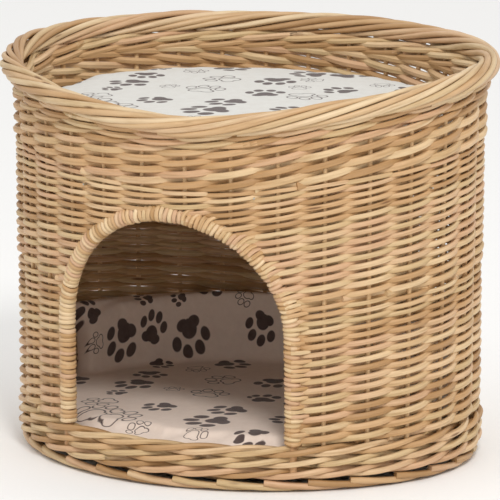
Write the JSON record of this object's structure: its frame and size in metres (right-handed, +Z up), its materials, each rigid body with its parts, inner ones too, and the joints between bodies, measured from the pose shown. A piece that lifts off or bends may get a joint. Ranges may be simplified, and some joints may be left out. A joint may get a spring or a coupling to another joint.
{
  "type": "wicker pet bed basket",
  "caption": "Oval two-storey woven willow pet bed: a cabin with an arched doorway and a padded floor, and an open padded tray inside the rolled border on top.",
  "frame": {"origin": "on the floor under the middle of the bed, where the foot border stands", "axes": "+Z up, +X along the bed's length, the doorway faces -Y"},
  "size_m": [0.528, 0.4572, 0.4271],
  "materials": {
    "peeled_willow": "satin",
    "buff_sticks": "satin",
    "border_willow": "satin",
    "willow_skein": "satin",
    "nail_steel": "bright wire",
    "printed_linen": "plain weave, printed",
    "wadding": "loose fibre"
  },
  "bodies": {
    "basket": {"foot_border": "peeled_willow", "base_sticks_long": "buff_sticks", "base_sticks_short": "buff_sticks", "base_weave": "peeled_willow", "bottom_wale": "peeled_willow", "wall_stakes": "buff_sticks", "arch_stakes": "buff_sticks", "sill_stakes": "buff_sticks", "weave_band_lower": "peeled_willow", "weave_band_middle": "peeled_willow", "weave_band_upper": "peeled_willow", "rim_wale": "peeled_willow", "top_border": "border_willow", "door_hoop": "buff_sticks", "door_binding": "willow_skein", "deck_hoop": "buff_sticks", "deck_nails": "nail_steel", "deck_sticks_long": "buff_sticks", "deck_sticks_short": "buff_sticks", "deck_weave": "peeled_willow", "lower_cushion_cover": "printed_linen", "lower_cushion_filling": "wadding"},
    "upper_cushion": {"upper_cushion_cover": "printed_linen", "upper_cushion_filling": "wadding"}
  },
  "joints": [
    {"name": "upper_cushion_lift", "type": "slide", "parent": "basket", "child": "upper_cushion", "axis": [0, 0, 1], "range_m": [0, 0.13]}
  ]
}
